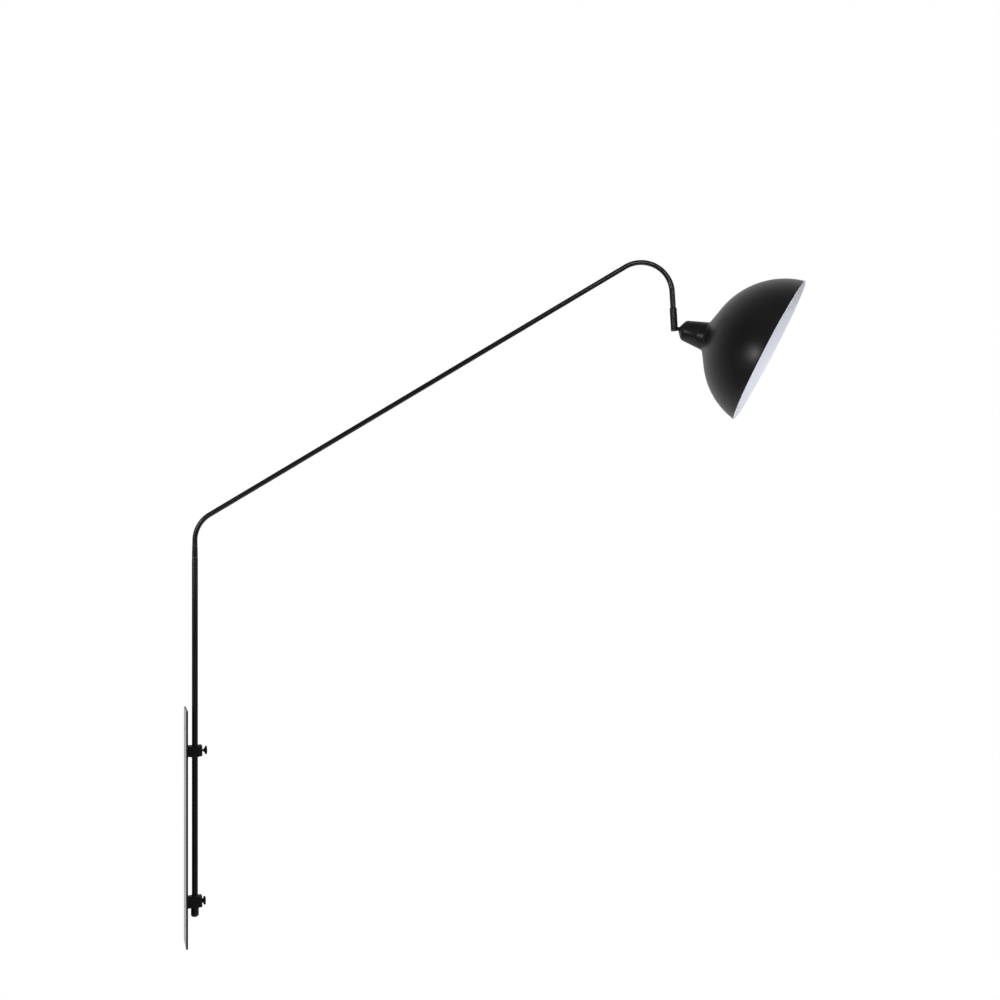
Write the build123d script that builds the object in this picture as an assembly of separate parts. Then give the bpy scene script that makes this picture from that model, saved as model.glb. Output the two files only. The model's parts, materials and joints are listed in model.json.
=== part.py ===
from build123d import *
from math import cos, radians, sin, tan
import os

# Swing-arm wall light: a wall plate with two clamp blocks carries a bent tube that
# turns and slides in them, and a spun dome shade hangs from a ball joint at its tip.
# Millimetres. Origin: centre of the plate's back face. +X into the room, +Z up.

# Wall plate and clamp blocks.
plate_height = 377.0
plate_width = 47.5
plate_thickness = 3.0
plate_corner_radius = 1.5
wall_hole_radius = 2.6
wall_hole_inset = 31.5
wall_hole_chamfer = 0.5
edge_break = 0.4

block_depth = 23.5
block_width = 17.0
block_height = 16.2
block_inset = 68.0        # from the plate's end to the block's middle
block_edge_chamfer = 1.6
block_screw_radius = 2.0
block_screw_head_radius = 3.8
block_screw_reach = 4.0
block_screw_pitch = 9.0

# Tubes.
tube_standoff = 12.4      # from the plate's face to the tube's axis
tube_radius = 4.75
tube_wall = 1.0
arm_tube_radius = 4.0
arm_tube_wall = 1.0
seam_above_block = 309.5
ferrule_reach = 25.0
bend_past_ferrule = 1.8
lower_bend_radius = 48.2
arm_rise_angle = 30.8
arm_straight_length = 774.2
end_bend_radius = 49.7
end_drop_angle = 86.6
end_drop_length = 24.9
arm_swing_angle = -19.0

# Bushes, thumbscrews, end cap.
bush_wall = 0.85
bush_flange_radius = 7.6
bush_flange_thickness = 1.2
bush_split = 0.8

screw_radius = 2.0
screw_pitch = 0.7
screw_backed_off_turns = 3
pad_radius = 1.6
pad_thickness = 1.2
pad_spigot_radius = 0.8
pad_spigot_length = 1.4
knob_radius = 6.6
knob_thickness = 3.2
knob_neck_radius = 4.2
knob_neck_start_radius = 2.8
knob_neck_length = 2.0
knob_standoff = 0.3

cap_radius = 6.2
cap_length = 15.4
cap_pocket_depth = 10.4
cap_bottom_round = 3.0
cap_top_chamfer = 0.8
grommet_neck_radius = 3.6
grommet_flange_radius = 4.4
grommet_flange_thickness = 0.9
cord_radius = 2.5
flex_radius = 1.7
flex_bore_room = 0.4      # radial, the flex in the fittings of the arm

# Swivel and ball joint at the arm's tip.
housing_wall = 0.9
ball_room = 0.2           # radial, the ball in the housing's bore
housing_length = 36.8
housing_ring_length = 3.0
spigot_shaft_radius = 3.2
spigot_head_length = 2.2
spigot_plug_length = 13.0
spigot_collar_length = 1.0
ball_radius = 4.6
ball_to_housing_end = 5.2
slot_room = 0.3           # either side of the stem in the housing's slot
stem_wall = 1.2
stem_bore_room = 0.2      # radial, the flex in the stem
disc_spring_count = 3
disc_spring_thickness = 0.5
disc_spring_rise = 0.5
spacer_wall = 1.2
seat_length = 5.0
shade_swivel_angle = -13.5
shade_hang_angle = 69.5
shade_highest_angle = 88.0

# Socket cup, dome, lampholder and bulb (heights are from the ball's centre).
cup_back = 8.2
cup_back_radius = 4.4
cup_shoulder_rise = 7.0
cup_shoulder_radius = 15.9
cup_shoulder_round = 9.0
cup_cone_angle = 10.6
cup_front = 40.0
cup_wall = 1.5
cup_floor_thickness = 5.1
cup_lip_length = 18.5

dome_radius = 121.5
dome_back_past_cup = 13.65    # the sphere's back, from the cup's front
dome_wall = 1.2
dome_cone_angle = 23.8        # the cone round the collar, from square to the axis
flare_radius = 6.0
rim_before_centre = 21.65
rim_slant_angle = 10.5
dome_ring_width = 10.5
dome_ring_thickness = 1.5

nut_length = 3.0
nut_flats = 10.0
holder_wall = 5.7
holder_cap_length = 8.4
holder_cap_wall = 2.4
holder_cap_taper = 4.0
holder_length = 28.0
holder_web = 4.0
holder_room = 0.3         # radial, the screw shell in the holder
shell_wall = 0.4
bulb_cap_room = 0.3       # radial, the bulb's cap in the shell
shell_length = 16.5
shell_setback = 2.0
contact_radius = 2.2
contact_length = 2.0
bulb_cap_radius = 6.9
bulb_cap_length = 22.0
bulb_tip_radius = 2.4
bulb_tip_length = 2.5
bulb_globe_radius = 22.5
bulb_glass_wall = 0.8
bulb_length = 78.0

# Clearances.
running_gap = 0.05      # radial, a shaft that turns in its hole
thread_gap = 0.05       # radial, a screw in its thread
fit_gap = 0.05          # radial, a fixed plug in its socket
face_gap = 0.2          # axial, two faces that turn on each other

# Sizes that follow.
wall_hole_spacing = plate_height - 2 * wall_hole_inset
block_offset = plate_height / 2 - block_inset
tube_axis_x = plate_thickness + tube_standoff
seam_height = block_offset + seam_above_block
bend_start_height = seam_height + ferrule_reach + bend_past_ferrule
bush_bore_radius = tube_radius + running_gap
bush_radius = bush_bore_radius + bush_wall
block_bore_radius = bush_radius + running_gap
block_front = plate_thickness + block_depth
knob_travel = screw_backed_off_turns * screw_pitch
pad_seat = tube_axis_x + bush_radius + running_gap
cap_top = -block_offset - block_height / 2 - face_gap
cap_bottom = cap_top - cap_length
cap_floor = cap_top - cap_pocket_depth
tube_bore_radius = tube_radius - tube_wall
arm_bore_radius = arm_tube_radius - arm_tube_wall
flex_bore_radius = flex_radius + flex_bore_room
housing_bore_radius = ball_radius + ball_room
housing_radius = housing_bore_radius + housing_wall
ball_depth = housing_length - ball_to_housing_end
stem_bore_radius = flex_radius + stem_bore_room
stem_radius = stem_bore_radius + stem_wall
slot_radius = stem_radius + slot_room
cup_shoulder_height = cup_back + cup_shoulder_rise
cup_floor = cup_back + cup_floor_thickness
cone_slope = tan(radians(cup_cone_angle))
dome_centre_height = cup_front + dome_back_past_cup + dome_radius
rim_height = dome_centre_height - rim_before_centre
shell_radius = bulb_cap_radius + bulb_cap_room + shell_wall
holder_bore_radius = shell_radius + holder_room
holder_radius = holder_bore_radius + holder_wall
holder_back = cup_floor + nut_length + fit_gap
holder_start = holder_back + holder_cap_length
stem_length = holder_back + holder_cap_wall + nut_length + fit_gap
shell_start = holder_start + holder_web + contact_length + shell_setback
bulb_start = holder_start + holder_web + contact_length + fit_gap


def cup_radius_at(height):
    """Outer radius of the cup's cone at a height above the ball."""
    return cup_shoulder_radius + (height - cup_shoulder_height) * cone_slope


# Frames.
arm_frame = Location((tube_axis_x, 0, 0), (0, 0, arm_swing_angle))


def arm_corners():
    """Corner points of the arm's centre line, before its bends are rounded."""
    rise, drop = radians(arm_rise_angle), radians(end_drop_angle)
    low_tangent = lower_bend_radius * tan((radians(90) - rise) / 2)
    end_tangent = end_bend_radius * tan((rise + drop) / 2)
    elbow = Vector(0, 0, bend_start_height + low_tangent)
    run = low_tangent + arm_straight_length + end_tangent
    apex = elbow + Vector(cos(rise), 0, sin(rise)) * run
    tip = apex + Vector(cos(drop), 0, -sin(drop)) * (end_tangent + end_drop_length)
    return elbow, apex, tip


elbow, apex, arm_tip = arm_corners()
drop_direction = (arm_tip - apex).normalized()


def housing_plane():
    """Origin at the housing's top, Z down the housing, X towards its side slot."""
    across = Vector(0, 1, 0)
    outward = across.cross(drop_direction) * -1
    turn = radians(shade_swivel_angle)
    slot = outward * cos(turn) + across * sin(turn)
    top = arm_tip + drop_direction * (spigot_collar_length + face_gap)
    return Plane(origin=top, x_dir=slot, z_dir=drop_direction)


housing_frame = arm_frame * housing_plane().location


def neck_plane():
    """In the housing's frame: origin at the ball, Z along the neck, X to its upper side."""
    hang = radians(shade_hang_angle)
    return Plane(origin=(0, 0, ball_depth), x_dir=(cos(hang), 0, -sin(hang)), z_dir=(sin(hang), 0, cos(hang)))


neck_frame = housing_frame * neck_plane().location


# Helpers.
def turned(*outline):
    """Solid of revolution about Z; the outline's points are (radius, height)."""
    return revolve(Plane.XZ * make_face(Polyline(*outline, close=True)), Axis.Z)


def ring(inner, outer, low, high):
    return turned((inner, low), (outer, low), (outer, high), (inner, high))


def rod(radius, low, high):
    return Pos(0, 0, low) * Cylinder(radius, high - low, align=(Align.CENTER, Align.CENTER, Align.MIN))


def swept(radius, route):
    """Round bar along a route."""
    start = Plane(origin=route @ 0, z_dir=route % 0)
    return sweep(start * Circle(radius), path=route)


def along_x(solid):
    """Turn a piece made about Z so that it points along +X."""
    return Rot(0, 90, 0) * solid


def save(name, *solids):
    shape = solids[0] if len(solids) == 1 else Compound(children=list(solids))
    export_step(shape, f"parts/{name}.step")


# Wall plate and clamp blocks.
def block_screw_places():
    """(Y, Z) of the two screws behind each block."""
    for side in (1, -1):
        for half in (1, -1):
            yield 0, side * block_offset + half * block_screw_pitch / 2


def countersunk(radius, head_radius, length):
    """Countersunk screw or its hole: head at X = 0, pointing along +X."""
    head = head_radius - radius
    return along_x(turned((0, 0), (head_radius, 0), (radius, head), (radius, length), (0, length)))


def make_wall_plate():
    plate = Box(plate_thickness, plate_width, plate_height, align=(Align.MIN, Align.CENTER, Align.CENTER))
    plate = fillet(plate.edges().filter_by(Axis.X), plate_corner_radius)
    rims = plate.faces().filter_by(Axis.X).edges()
    plate = fillet(rims, min(edge_break, plate_thickness / 3))
    for side in (1, -1):
        hole = along_x(rod(wall_hole_radius, 0, plate_thickness))
        mouth = along_x(turned(
            (0, plate_thickness - wall_hole_chamfer), (wall_hole_radius, plate_thickness - wall_hole_chamfer),
            (wall_hole_radius + wall_hole_chamfer, plate_thickness), (0, plate_thickness)))
        plate -= Pos(0, 0, side * wall_hole_spacing / 2) * (hole + mouth)
    for y, z in block_screw_places():
        plate -= Pos(0, y, z) * countersunk(
            block_screw_radius + thread_gap, block_screw_head_radius + thread_gap, plate_thickness)
    return plate


def make_clamp_block(side):
    block = Pos(plate_thickness, 0, 0) * Box(
        block_depth, block_width, block_height, align=(Align.MIN, Align.CENTER, Align.CENTER))
    front = block.faces().sort_by(Axis.X)[-1]
    block = chamfer(front.edges().filter_by(Axis.Z), block_edge_chamfer)
    outer = block.edges().filter_by(lambda edge: edge.center().X > plate_thickness + edge_break)
    block = fillet(outer, edge_break)
    block -= Pos(tube_axis_x, 0, 0) * Cylinder(block_bore_radius, block_height)
    block -= along_x(rod(screw_radius + thread_gap, tube_axis_x, block_front))
    for half in (1, -1):
        hole = along_x(rod(block_screw_radius + thread_gap, 0, plate_thickness + block_screw_reach))
        block -= Pos(0, 0, half * block_screw_pitch / 2) * hole
    return Pos(0, 0, side * block_offset) * block


def make_block_screws():
    length = plate_thickness + block_screw_reach - face_gap
    screw = countersunk(block_screw_radius, block_screw_head_radius, length)
    screw -= Box(1.6, 0.9, 2 * block_screw_head_radius)
    return [Pos(0, y, z) * screw for y, z in block_screw_places()]


# Bushes and thumbscrews.
def make_bush(side):
    """Split flanged liner; the flange faces the other block."""
    half = block_height / 2
    bush = turned(
        (bush_bore_radius, half), (bush_radius, half), (bush_radius, -half - face_gap / 2),
        (bush_flange_radius, -half - face_gap / 2),
        (bush_flange_radius, -half - face_gap / 2 - bush_flange_thickness),
        (bush_bore_radius, -half - face_gap / 2 - bush_flange_thickness))
    bush -= Pos(-bush_flange_radius, 0, 0) * Box(2 * bush_flange_radius, bush_split, 2 * block_height)
    if side < 0:
        bush = Rot(180, 0, 0) * bush
    return arm_frame * Pos(0, 0, side * block_offset) * bush


def knob_shift(side):
    """The upper thumbscrew is backed off, the lower one is tight."""
    return knob_travel if side > 0 else 0.0


def make_pad(side):
    """Loose nose of a thumbscrew: bears on the bush and doesn't turn with the screw."""
    pad = turned(
        (0, 0), (pad_radius, 0), (pad_radius, pad_thickness), (pad_spigot_radius, pad_thickness),
        (pad_spigot_radius, pad_thickness + pad_spigot_length), (0, pad_thickness + pad_spigot_length))
    return Pos(pad_seat + knob_shift(side), 0, side * block_offset) * along_x(pad)


def make_thumbscrew(side):
    tip = pad_thickness + running_gap
    neck = block_front - pad_seat + knob_standoff
    disc = neck + knob_neck_length
    screw = turned(
        (0, tip), (screw_radius, tip), (screw_radius, neck), (knob_neck_start_radius, neck),
        (knob_neck_radius, disc), (knob_radius, disc), (knob_radius, disc + knob_thickness),
        (0, disc + knob_thickness))
    screw = fillet(screw.edges().filter_by(GeomType.CIRCLE).group_by(SortBy.RADIUS)[-1], knob_thickness / 3)
    screw -= rod(pad_spigot_radius + running_gap, tip, pad_thickness + pad_spigot_length + face_gap)
    return Pos(pad_seat + knob_shift(side), 0, side * block_offset) * along_x(screw)


# Arm.
def arm_route(low, tip_extra=0.0):
    """Centre line from a height in the lower tube to the tip, or past it."""
    end = arm_tip + drop_direction * tip_extra
    return FilletPolyline((0, 0, low), elbow, apex, end, radius=[lower_bend_radius, end_bend_radius])


def make_lower_tube():
    tube = ring(tube_bore_radius, tube_radius, cap_floor + fit_gap, seam_height)
    top_edge = tube.edges().filter_by(GeomType.CIRCLE).sort_by(Axis.Z)[-2:].sort_by(SortBy.RADIUS)[-1]
    return arm_frame * chamfer(top_edge, tube_wall / 3)


def make_arm_tube():
    route = arm_route(seam_height)
    return arm_frame * (swept(arm_tube_radius, route) - swept(arm_bore_radius, route))


def make_joint_ferrule():
    """Stepped plug inside the seam of the two tubes, hollow for the flex."""
    low, high = tube_bore_radius - fit_gap, arm_bore_radius - fit_gap
    return arm_frame * turned(
        (flex_bore_radius, seam_height - ferrule_reach), (low, seam_height - ferrule_reach),
        (low, seam_height - fit_gap), (high, seam_height - fit_gap),
        (high, seam_height + ferrule_reach), (flex_bore_radius, seam_height + ferrule_reach))


def make_end_cap():
    pocket = tube_radius + fit_gap
    cap = turned(
        (0, cap_bottom), (cap_radius, cap_bottom), (cap_radius, cap_top - cap_top_chamfer),
        (cap_radius - cap_top_chamfer, cap_top), (0, cap_top))
    cap = fillet(cap.edges().filter_by(GeomType.CIRCLE).sort_by(Axis.Z)[0], cap_bottom_round)
    cap -= rod(pocket, cap_floor, cap_top)
    cap -= rod(grommet_neck_radius, cap_bottom, cap_floor)
    seat_radius, depth = grommet_flange_radius + fit_gap, grommet_flange_thickness
    for face in (cap_floor, cap_bottom):
        cap -= rod(seat_radius, face - depth, face + depth)
    return arm_frame * cap


def make_cord_grommet():
    """Rubber grommet buttoned into the cap's floor."""
    flange = grommet_flange_radius
    inner, outer = cap_floor - grommet_flange_thickness, cap_bottom + grommet_flange_thickness
    neck = grommet_neck_radius - fit_gap
    return arm_frame * turned(
        (cord_radius, cap_bottom), (flange, cap_bottom), (flange, outer), (neck, outer),
        (neck, inner), (flange, inner), (flange, cap_floor), (cord_radius, cap_floor))


def make_arm_flex():
    """Flex inside the arm, from above the cord outlet to the end of the swivel."""
    start = cap_floor + cap_length
    end = spigot_collar_length + face_gap + housing_ring_length + face_gap + spigot_head_length
    return arm_frame * swept(flex_radius, arm_route(start, end))


# Swivel and ball housing.
def make_swivel_spigot():
    top = -face_gap - spigot_collar_length
    head = housing_ring_length + face_gap
    bottom = head + spigot_head_length
    plug, shaft, head_radius = arm_bore_radius - fit_gap, spigot_shaft_radius, housing_bore_radius - face_gap
    return housing_frame * turned(
        (flex_bore_radius, top - spigot_plug_length), (plug, top - spigot_plug_length), (plug, top),
        (arm_tube_radius, top), (arm_tube_radius, -face_gap), (shaft, -face_gap), (shaft, head),
        (head_radius, head), (head_radius, bottom), (flex_bore_radius, bottom))


def make_ball_housing():
    housing = rod(housing_radius, 0, housing_length)
    edges = housing.edges().filter_by(GeomType.CIRCLE)
    housing = chamfer(edges, 0.3)
    housing -= rod(housing_bore_radius, 0, ball_depth)
    housing -= Pos(0, 0, ball_depth) * Sphere(ball_radius + running_gap)
    housing -= rod(slot_radius, ball_depth, housing_length)
    high = radians(shade_highest_angle)
    stem_way = Plane(origin=(0, 0, ball_depth), z_dir=(sin(high), 0, cos(high))).location
    housing -= stem_way * rod(slot_radius, 0, 2 * housing_radius)
    slot = Box(2 * housing_radius, 2 * slot_radius, housing_length, align=(Align.MIN, Align.CENTER, Align.MIN))
    housing -= Pos(0, 0, ball_depth) * slot
    return housing_frame * housing


def make_housing_ring():
    """Threaded ring that keeps the housing on the spigot's head."""
    return housing_frame * ring(
        spigot_shaft_radius + running_gap, housing_bore_radius - thread_gap, 0, housing_ring_length)


def make_disc_springs():
    """Stack of coned washers that press the seat on the ball."""
    inner, outer = flex_bore_radius + 0.5, housing_bore_radius - face_gap
    springs = []
    level = disc_stack_top()
    for number in range(disc_spring_count):
        tilt = disc_spring_rise if number % 2 else 0.0
        other = disc_spring_rise - tilt
        springs.append(housing_frame * Pos(0, 0, level) * turned(
            (inner, tilt), (outer, other), (outer, other + disc_spring_thickness),
            (inner, tilt + disc_spring_thickness)))
        level += disc_spring_rise + disc_spring_thickness
    return springs


def disc_stack_top():
    return housing_ring_length + face_gap + spigot_head_length + face_gap


def disc_stack_bottom():
    return disc_stack_top() + disc_spring_count * (disc_spring_rise + disc_spring_thickness)


def make_spacer_tube():
    outer = housing_bore_radius - face_gap
    return housing_frame * ring(outer - spacer_wall, outer, disc_stack_bottom(), seat_top())


def seat_top():
    """The seat ends above the stem's way through the slot."""
    return ball_depth - slot_radius - seat_length


def make_ball_seat():
    """Nylon seat with a hollow that fits the ball."""
    seat = ring(stem_bore_radius + 0.7, housing_bore_radius - fit_gap, seat_top(), seat_top() + seat_length)
    return housing_frame * (seat - Pos(0, 0, ball_depth) * Sphere(ball_radius + running_gap))


# Shade head.
def make_ball_stem():
    """Ball and threaded stem in one, hollow for the wires."""
    stem = Sphere(ball_radius) + rod(stem_radius, 0, stem_length)
    stem -= rod(stem_bore_radius, 0, stem_length)
    way_in = radians(180 - shade_highest_angle / 2)
    wire_way = Plane(origin=(0, 0, 0), z_dir=(sin(way_in), 0, cos(way_in))).location
    stem -= wire_way * rod(stem_bore_radius, 0, 2 * ball_radius)
    stem -= Sphere(stem_bore_radius)
    return neck_frame * stem


def make_nut(height):
    nut = Pos(0, 0, height) * extrude(RegularPolygon(nut_flats / 2, 6, major_radius=False), nut_length)
    return neck_frame * (nut - rod(stem_radius + thread_gap, height, height + nut_length))


def make_socket_cup():
    """Cast cup behind the dome: a cone with a rounded shoulder and a thin front lip."""
    lip = dome_collar_bore() - fit_gap
    outline = FilletPolyline(
        (0, cup_back), (cup_back_radius, cup_back), (cup_shoulder_radius, cup_shoulder_height),
        (cup_radius_at(cup_front), cup_front), radius=[0.8, cup_shoulder_round])
    rest = Polyline(
        (cup_radius_at(cup_front), cup_front), (lip, cup_front), (lip, cup_front + cup_lip_length),
        (0, cup_front + cup_lip_length), (0, cup_back))
    cup = revolve(Plane.XZ * make_face(outline + rest), Axis.Z)
    throat = lip - cup_wall
    hollow = turned(
        (0, cup_floor), (cup_shoulder_radius - 4 * cup_wall, cup_floor),
        (cup_shoulder_radius - cup_wall, cup_shoulder_height + 2 * cup_wall), (throat, cup_front - cup_wall),
        (throat, cup_front + cup_lip_length), (0, cup_front + cup_lip_length))
    return neck_frame * (cup - hollow - rod(stem_radius + thread_gap, cup_back, cup_floor))


def dome_collar_bore():
    return cup_radius_at(cup_front) - dome_wall / cos(radians(cup_cone_angle))


def dome_back_point(inset):
    """(radius, height) where the sphere passes into the cone round the collar."""
    slope = radians(dome_cone_angle)
    return Vector(0, dome_centre_height) + Vector(sin(slope), -cos(slope)) * (dome_radius - inset)


def dome_outline(inset):
    """Outline of the dome, from its collar to its widest circle, at a depth under the outer skin."""
    collar_slope, dome_slope = radians(cup_cone_angle), radians(dome_cone_angle)
    along = Vector(sin(collar_slope), cos(collar_slope))
    off_collar = Vector(cos(collar_slope), -sin(collar_slope))
    off_cone = Vector(sin(dome_slope), -cos(dome_slope))
    foot = Vector(cup_radius_at(cup_front), cup_front) + off_collar * flare_radius
    step = (flare_radius - (foot - dome_back_point(0)).dot(off_cone)) / along.dot(off_cone)
    centre = foot + along * step
    hollow = flare_radius + inset
    start = Vector(cup_radius_at(cup_front), cup_front) - Vector(inset / cos(collar_slope), 0)
    flare_start, flare_end = centre - off_collar * hollow, centre - off_cone * hollow
    flare_middle = centre - (off_collar + off_cone).normalized() * hollow
    back = dome_back_point(inset)
    radius = dome_radius - inset
    bearing = (dome_slope - radians(90)) / 2
    crown = Vector(0, dome_centre_height) + Vector(cos(bearing), sin(bearing)) * radius
    widest = Vector(radius, dome_centre_height)
    return [Line(start, flare_start), ThreePointArc(flare_start, flare_middle, flare_end),
            Line(flare_end, back), ThreePointArc(back, crown, widest)]


def make_shade_dome():
    """Spun shell cut off at a slant to its own axis."""
    outer, inner = dome_outline(0), dome_outline(dome_wall)
    mouth = Line(outer[-1] @ 1, inner[-1] @ 1)
    collar = Line(inner[0] @ 0, outer[0] @ 0)
    shell = revolve(Plane.XZ * make_face([*outer, mouth, *inner, collar]), Axis.Z)
    slant = radians(rim_slant_angle)
    rim = Plane(origin=(0, 0, rim_height), z_dir=(-sin(slant), 0, cos(slant)))
    return neck_frame * split(shell, bisect_by=rim, keep=Keep.BOTTOM)


def dome_cone_height(radius):
    """Height of the inner face of the dome's cone at a radius, and a fit past it."""
    back = dome_back_point(dome_wall)
    return back.Y + (radius - back.X) * tan(radians(dome_cone_angle)) + fit_gap


def make_dome_ring():
    """Threaded ring that clamps the dome's cone on the cup, from inside."""
    inner = dome_collar_bore() - fit_gap + thread_gap
    outer = inner + dome_ring_width
    front = dome_cone_height(outer) + dome_ring_thickness
    return neck_frame * turned(
        (inner, dome_cone_height(inner)), (outer, dome_cone_height(outer)), (outer, front), (inner, front))


def make_holder_cap():
    """Cap behind the lampholder, its back drawn in to clear the cup's shoulder."""
    full = holder_back + holder_cap_taper
    cap = turned(
        (0, holder_back), (holder_radius - holder_cap_taper, holder_back), (holder_radius, full),
        (holder_radius, holder_start), (0, holder_start))
    room = holder_radius - holder_cap_taper
    cap -= rod(room, holder_back + holder_cap_wall, holder_start)
    return neck_frame * (cap - rod(stem_radius + fit_gap, holder_back, holder_start))


def make_holder_body():
    """Insulating body: a web with the contact, and a sleeve round the screw shell."""
    body = rod(holder_radius, holder_start, holder_start + holder_length)
    body = chamfer(body.edges().filter_by(GeomType.CIRCLE), 0.6)
    body -= rod(holder_bore_radius, holder_start + holder_web, holder_start + holder_length)
    body -= rod(stem_bore_radius + fit_gap, holder_start, holder_start + holder_web)
    return neck_frame * body


def make_screw_shell():
    """Brass shell, lodged in the holder by a rim at its back."""
    return neck_frame * turned(
        (shell_radius - shell_wall, shell_start), (holder_bore_radius - fit_gap, shell_start),
        (holder_bore_radius - fit_gap, shell_start + shell_wall), (shell_radius, shell_start + shell_wall),
        (shell_radius, shell_start + shell_length), (shell_radius - shell_wall, shell_start + shell_length))


def make_centre_contact():
    web_top = holder_start + holder_web
    return neck_frame * turned(
        (0, holder_start + 0.5), (stem_bore_radius, holder_start + 0.5), (stem_bore_radius, web_top),
        (contact_radius, web_top), (contact_radius, web_top + contact_length / 2),
        (contact_radius / 2, web_top + contact_length), (0, web_top + contact_length))


def make_neck_flex():
    return neck_frame * rod(flex_radius, stem_bore_radius + 0.5, holder_start)


def make_bulb_tip():
    return neck_frame * turned(
        (0, bulb_start), (bulb_tip_radius, bulb_start), (bulb_tip_radius + 2, bulb_start + bulb_tip_length),
        (0, bulb_start + bulb_tip_length))


def make_bulb_cap():
    low, high = bulb_start + bulb_tip_length, bulb_start + bulb_cap_length
    return neck_frame * turned(
        (0, low), (bulb_tip_radius + 2, low), (bulb_cap_radius, low + 2), (bulb_cap_radius, high), (0, high))


def bulb_glass_core(inset):
    """The bulb's outer form, or its hollow at a depth under the skin: a neck that swells into a globe."""
    low, globe = bulb_start + bulb_cap_length, bulb_start + bulb_length - bulb_globe_radius
    neck, radius = bulb_cap_radius - inset, bulb_globe_radius - inset
    bottom, waist = radians(-35), radians(25)
    swell = (radius * cos(bottom), globe + radius * sin(bottom))
    outline = [Line((0, low), (neck, low)), Line((neck, low), swell),
               ThreePointArc(swell, (radius * cos(waist), globe + radius * sin(waist)), (0, globe + radius)),
               Line((0, globe + radius), (0, low))]
    return revolve(Plane.XZ * make_face(outline), Axis.Z)


def make_bulb_glass():
    return neck_frame * (bulb_glass_core(0) - bulb_glass_core(bulb_glass_wall))


# Write the pieces.
os.makedirs("parts", exist_ok=True)

save("wall_plate", make_wall_plate())
save("block_screws", *make_block_screws())
for word, side in (("upper", 1), ("lower", -1)):
    save(f"{word}_clamp_block", make_clamp_block(side))
    save(f"{word}_bush", make_bush(side))
    save(f"{word}_screw_pad", make_pad(side))
    save(f"{word}_thumbscrew", make_thumbscrew(side))

save("lower_tube", make_lower_tube())
save("joint_ferrule", make_joint_ferrule())
save("arm_tube", make_arm_tube())
save("end_cap", make_end_cap())
save("cord_grommet", make_cord_grommet())
save("arm_flex", make_arm_flex())
save("swivel_spigot", make_swivel_spigot())

save("ball_housing", make_ball_housing())
save("housing_ring", make_housing_ring())
save("disc_springs", *make_disc_springs())
save("spacer_tube", make_spacer_tube())
save("ball_seat", make_ball_seat())

save("ball_stem", make_ball_stem())
save("cup_nut", make_nut(cup_floor))
save("socket_cup", make_socket_cup())
save("shade_dome", make_shade_dome())
save("dome_ring", make_dome_ring())
save("holder_cap", make_holder_cap())
save("holder_nut", make_nut(holder_back + holder_cap_wall))
save("holder_body", make_holder_body())
save("screw_shell", make_screw_shell())
save("centre_contact", make_centre_contact())
save("neck_flex", make_neck_flex())
save("bulb_tip", make_bulb_tip())
save("bulb_cap", make_bulb_cap())
save("bulb_glass", make_bulb_glass())
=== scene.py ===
import json
from math import acos, atan2, ceil, cos, pi, radians, sin, tan

import bmesh
import bpy
import numpy as np
from mathutils import Matrix, Vector


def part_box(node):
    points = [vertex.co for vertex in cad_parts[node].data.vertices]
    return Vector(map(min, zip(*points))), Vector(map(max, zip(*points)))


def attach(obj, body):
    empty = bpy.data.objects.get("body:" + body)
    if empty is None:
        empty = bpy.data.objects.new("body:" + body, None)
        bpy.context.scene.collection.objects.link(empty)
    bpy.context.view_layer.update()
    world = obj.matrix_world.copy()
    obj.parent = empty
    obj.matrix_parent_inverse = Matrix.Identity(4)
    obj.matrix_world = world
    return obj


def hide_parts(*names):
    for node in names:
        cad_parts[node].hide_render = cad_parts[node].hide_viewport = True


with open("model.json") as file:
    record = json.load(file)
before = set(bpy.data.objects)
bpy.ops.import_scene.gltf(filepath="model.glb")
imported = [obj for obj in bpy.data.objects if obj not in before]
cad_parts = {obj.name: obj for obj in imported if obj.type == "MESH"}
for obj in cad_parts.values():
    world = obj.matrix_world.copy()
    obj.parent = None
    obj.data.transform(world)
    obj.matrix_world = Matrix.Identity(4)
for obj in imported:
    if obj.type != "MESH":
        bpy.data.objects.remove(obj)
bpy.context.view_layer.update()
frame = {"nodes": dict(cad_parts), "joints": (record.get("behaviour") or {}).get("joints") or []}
nodes = frame["nodes"]
joints = {joint["name"]: joint for joint in frame["joints"]}
mm = 0.001
print("frame loaded:", len(nodes), "nodes")


# Colours and nodes.

def linear(hexColour):
    # sRGB hex to linear light: each channel goes through the sRGB curve
    value = np.array([int(hexColour[i:i + 2], 16) for i in (1, 3, 5)]) / 255
    value = np.where(value <= 0.04045, value / 12.92, ((value + 0.055) / 1.055) ** 2.4)
    return (*value.tolist(), 1.0)


def addNode(tree, kind, values=None, links=None, **settings):
    # one node with its settings, its own socket values and what feeds it
    node = tree.nodes.new(kind)
    for name, value in settings.items():
        setattr(node, name, value)
    for socket, value in (values or {}).items():
        node.inputs[socket].default_value = value
    for socket, source in (links or {}).items():
        tree.links.new(source, node.inputs[socket])
    return node


def emptyTree(data):
    data.use_nodes = True
    data.node_tree.nodes.clear()
    return data.node_tree


def noise(tree, place, sizeInMm, detail=2.0, stretch=None):
    # noise with about one feature for each sizeInMm of the piece
    if stretch:
        place = addNode(tree, "ShaderNodeMapping", links={"Vector": place},
                        values={"Scale": stretch}).outputs["Vector"]
    return addNode(tree, "ShaderNodeTexNoise", links={"Vector": place},
                   values={"Scale": 1000 / sizeInMm, "Detail": detail}).outputs["Fac"]


def ranged(tree, value, low, high):
    return addNode(tree, "ShaderNodeMapRange", links={"Value": value},
                   values={"From Min": 0.3, "From Max": 0.7, "To Min": low, "To Max": high}).outputs["Result"]


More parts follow.
